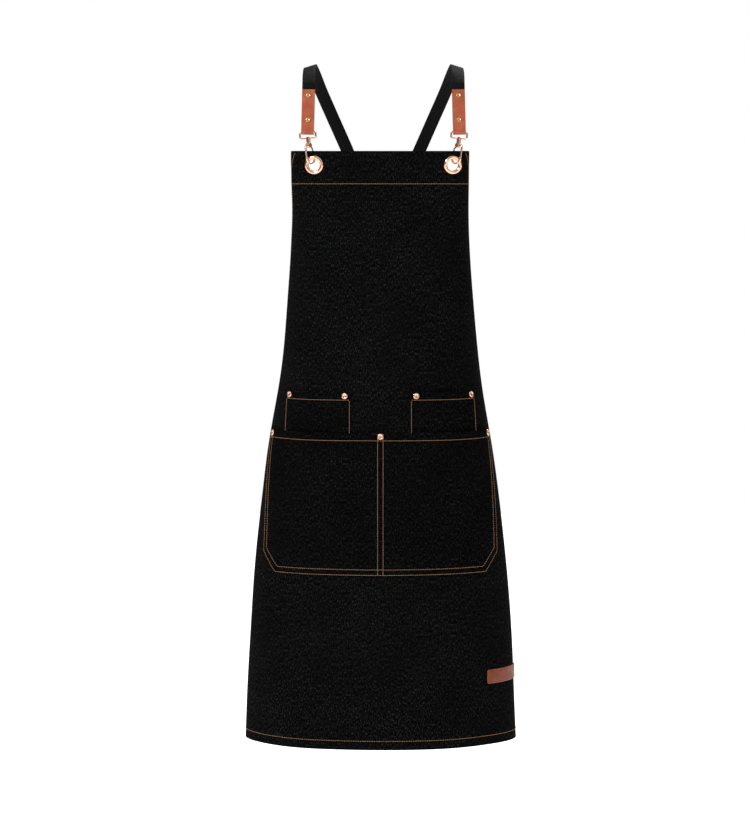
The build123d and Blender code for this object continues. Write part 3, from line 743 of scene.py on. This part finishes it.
def smooth(stations, steps):
    out = []
    for k in range(len(stations) - 1):
        p1, p2 = stations[k], stations[k + 1]
        p0 = stations[k - 1] if k else p1 * 2 - p2
        p3 = stations[k + 2] if k + 2 < len(stations) else p2 * 2 - p1
        span = np.linalg.norm(p2 - p1)
        m1 = (p2 - p0) * span / (np.linalg.norm(p2 - p1) + np.linalg.norm(p1 - p0))
        m2 = (p3 - p1) * span / (np.linalg.norm(p3 - p2) + np.linalg.norm(p2 - p1))
        for i in range(steps):
            t = i / steps
            out.append(p1 * (2 * t**3 - 3 * t**2 + 1) + m1 * (t**3 - 2 * t**2 + t)
                       + p2 * (3 * t**2 - 2 * t**3) + m2 * (t**3 - t**2))
    return out + [stations[-1]]


def band(name, centres, outs, wide, thick, finish):
    """Flat band with soft edges along the centres; outs says where its face looks."""
    h, t = wide / 2, thick / 2
    outline = [(-h, -t * .5), (-h + t * .6, -t), (0, -t), (h - t * .6, -t), (h, -t * .5),
               (h, t * .5), (h - t * .6, t), (0, t), (-h + t * .6, t), (-h, t * .5)]
    verts, faces, uvs = [], [], []
    travelled = 0.0
    sides = len(outline)
    for k, (centre, out) in enumerate(zip(centres, outs)):
        along = unit(centres[min(k + 1, len(centres) - 1)] - centres[max(k - 1, 0)])
        across = unit(np.cross(out, along))
        normal = np.cross(along, across)
        if k:
            travelled += np.linalg.norm(centre - centres[k - 1])
        for u, v in outline:
            verts.append(centre + across * u + normal * v)
            uvs.append((u, travelled))
    for k in range(len(centres) - 1):
        for s in range(sides):
            a, b = k * sides + s, k * sides + (s + 1) % sides
            faces.append((a, b, b + sides, a + sides))
    faces.append(tuple(reversed(range(sides))))
    faces.append(tuple(len(verts) - sides + i for i in range(sides)))
    mesh = bpy.data.meshes.new(name)
    mesh.from_pydata([v.tolist() for v in verts], [], faces)
    layer = mesh.uv_layers.new(name="flat_band")
    for loop in mesh.loops:
        layer.data[loop.index].uv = uvs[loop.vertex_index]
    obj = bpy.data.objects.new(name, mesh)
    bpy.context.scene.collection.objects.link(obj)
    select_only(obj)
    bpy.ops.object.shade_smooth_by_angle(angle=math.radians(50))
    put(obj, finish)
    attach(obj, "root")
    return obj, travelled


for side, word in ((-1, "left"), (1, "right")):
    bar = np.array(joints[f"{word}_hook_swivel"]["pos_m"])
    run_way = unit(np.array(joints[f"{word}_slider_slide"]["axis"]))
    tab_up = unit(np.array([-side * TAB_SPLAY, math.sin(TAB_TILT), math.cos(TAB_TILT)]))
    wide_way = unit(np.array([1.0, 0, 0]) - tab_up * tab_up[0])
    tab_out = np.cross(tab_up, wide_way)
    tab_out = tab_out if tab_out[1] < 0 else -tab_out
    slider = np.array(centre_of(f"{word}_strap_slider"))
    ring_bar = slider - run_way * SLIDER_PLACE
    out_way = np.array([-side * .6, .8, 0])
    out_way = unit(out_way - run_way * out_way.dot(run_way))
    run_offset = BAR_R + BAR_CLEAR + WEB_THICK / 2
    tab_top = bar + tab_up * TAB_LENGTH
    run_top = ring_bar + run_way * STRAIGHT_RUN + out_way * run_offset

    def over(x, y, z):
        return np.array([SHIFT + side * x, y, z])

    stations = [bar + tab_up * WEB_START, tab_top, tab_top + tab_up * .010, over(.1097, -.052, -.0095),
                over(.1087, 0, .0008), over(.1037, .040, -.009), over(.0936, .076, -.035),
                over(.0761, .101, -.075), over(.0549, .115, -.123),
                np.array([SHIFT / 2, CROSSING[0] - side * CROSS_LIFT, CROSSING[1]]), run_top]
    looks = [tab_out, tab_out, tab_out, (side * .2, -.5, .85), (side * .3, 0, .95),
             (side * .3, .36, .88), (side * .2, .7, .68), (side * .1, .9, .4), (0, 1, .15),
             (0, 1, .02), out_way]
    looks = [np.array(look, float) for look in looks]
    centres = smooth(stations, STEPS)
    outs = []
    for here, there in zip(looks, looks[1:]):
        outs += [unit(here + (there - here) * (i / STEPS)) for i in range(STEPS)]
    outs.append(out_way)
    straight = np.linspace(STRAIGHT_RUN, 0, 40)[1:]
    centres += [ring_bar + run_way * s + out_way * run_offset for s in straight]
    outs += [out_way] * len(straight)
    for turn in np.linspace(0, math.pi, 13)[1:]:
        face = out_way * math.cos(turn) - run_way * math.sin(turn)
        centres.append(ring_bar + face * run_offset)
        outs.append(face)
    tail = np.linspace(0, TAIL_RUN, 30)[1:]
    centres += [ring_bar + run_way * s - out_way * run_offset for s in tail]
    outs += [-out_way] * len(tail)
    strap, length = band(f"{word}_webbing", centres, outs, WEB_WIDE, WEB_THICK, web_finish)
    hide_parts(f"{word}_strap")
    print(word, "strap", round(length, 3), "m")

# %% [markdown]
# The frame's own metal, leather tabs and ring tabs keep their shapes and take their
# finishes here. New pieces would only copy them, and the joints already turn about them.

# %% finishes on the frame's nodes
by_end = {"rivet_caps": rose_gold, "rivet_backs": rose_gold, "eyelet_front": rose_gold,
          "eyelet_back": rose_gold, "hook_loop": rose_gold, "hook_body": rose_gold,
          "hook_stem": rose_gold, "gate": rose_gold, "gate_pin": old_brass, "gate_spring": steel,
          "waist_ring": rose_gold, "strap_slider": rose_gold, "leather_tab": tan_leather,
          "tab_rivet_caps": old_brass, "tab_rivet_backs": old_brass, "ring_tab": ring_tab_finish}
for node, obj in frame["nodes"].items():
    matches = [end for end in by_end if node.endswith(end)]
    if matches:
        put(obj, by_end[max(matches, key=len)])
print("finished nodes")
